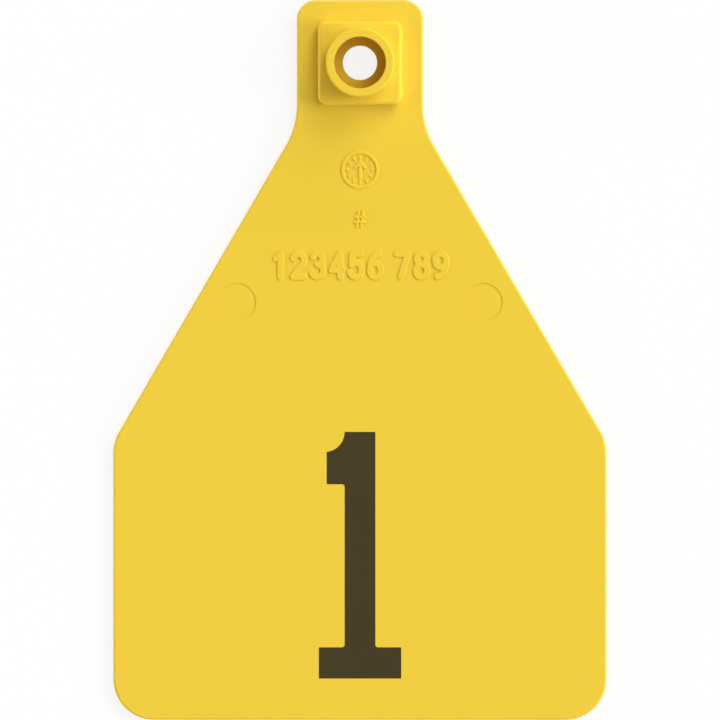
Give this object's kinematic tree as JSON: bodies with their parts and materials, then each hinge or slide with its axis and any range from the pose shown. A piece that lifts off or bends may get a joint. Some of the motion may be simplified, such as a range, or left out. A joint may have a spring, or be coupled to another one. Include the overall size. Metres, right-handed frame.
{
  "type": "livestock ear tag",
  "caption": "Numbered panel half of a two-piece livestock ear tag, with a narrow neck, a square pad and a round boss round its stud hole.",
  "frame": {"origin": "on the axis of the stud hole, at the flat back face", "axes": "+Z is the way the numbered front faces, along the stud hole and out of the boss. +Y points along the tag from the panel to the neck. The tag lies on its back face."},
  "size_m": [0.0762, 0.1112, 0.0076],
  "materials": {
    "yellow_plastic": "satin, fine moulded texture, flexible polyurethane",
    "dark_ink": "matt dark ink filled into a burnt recess"
  },
  "bodies": {
    "root": {"tag_body": "yellow_plastic", "number_ink": "dark_ink"}
  },
  "joints": []
}
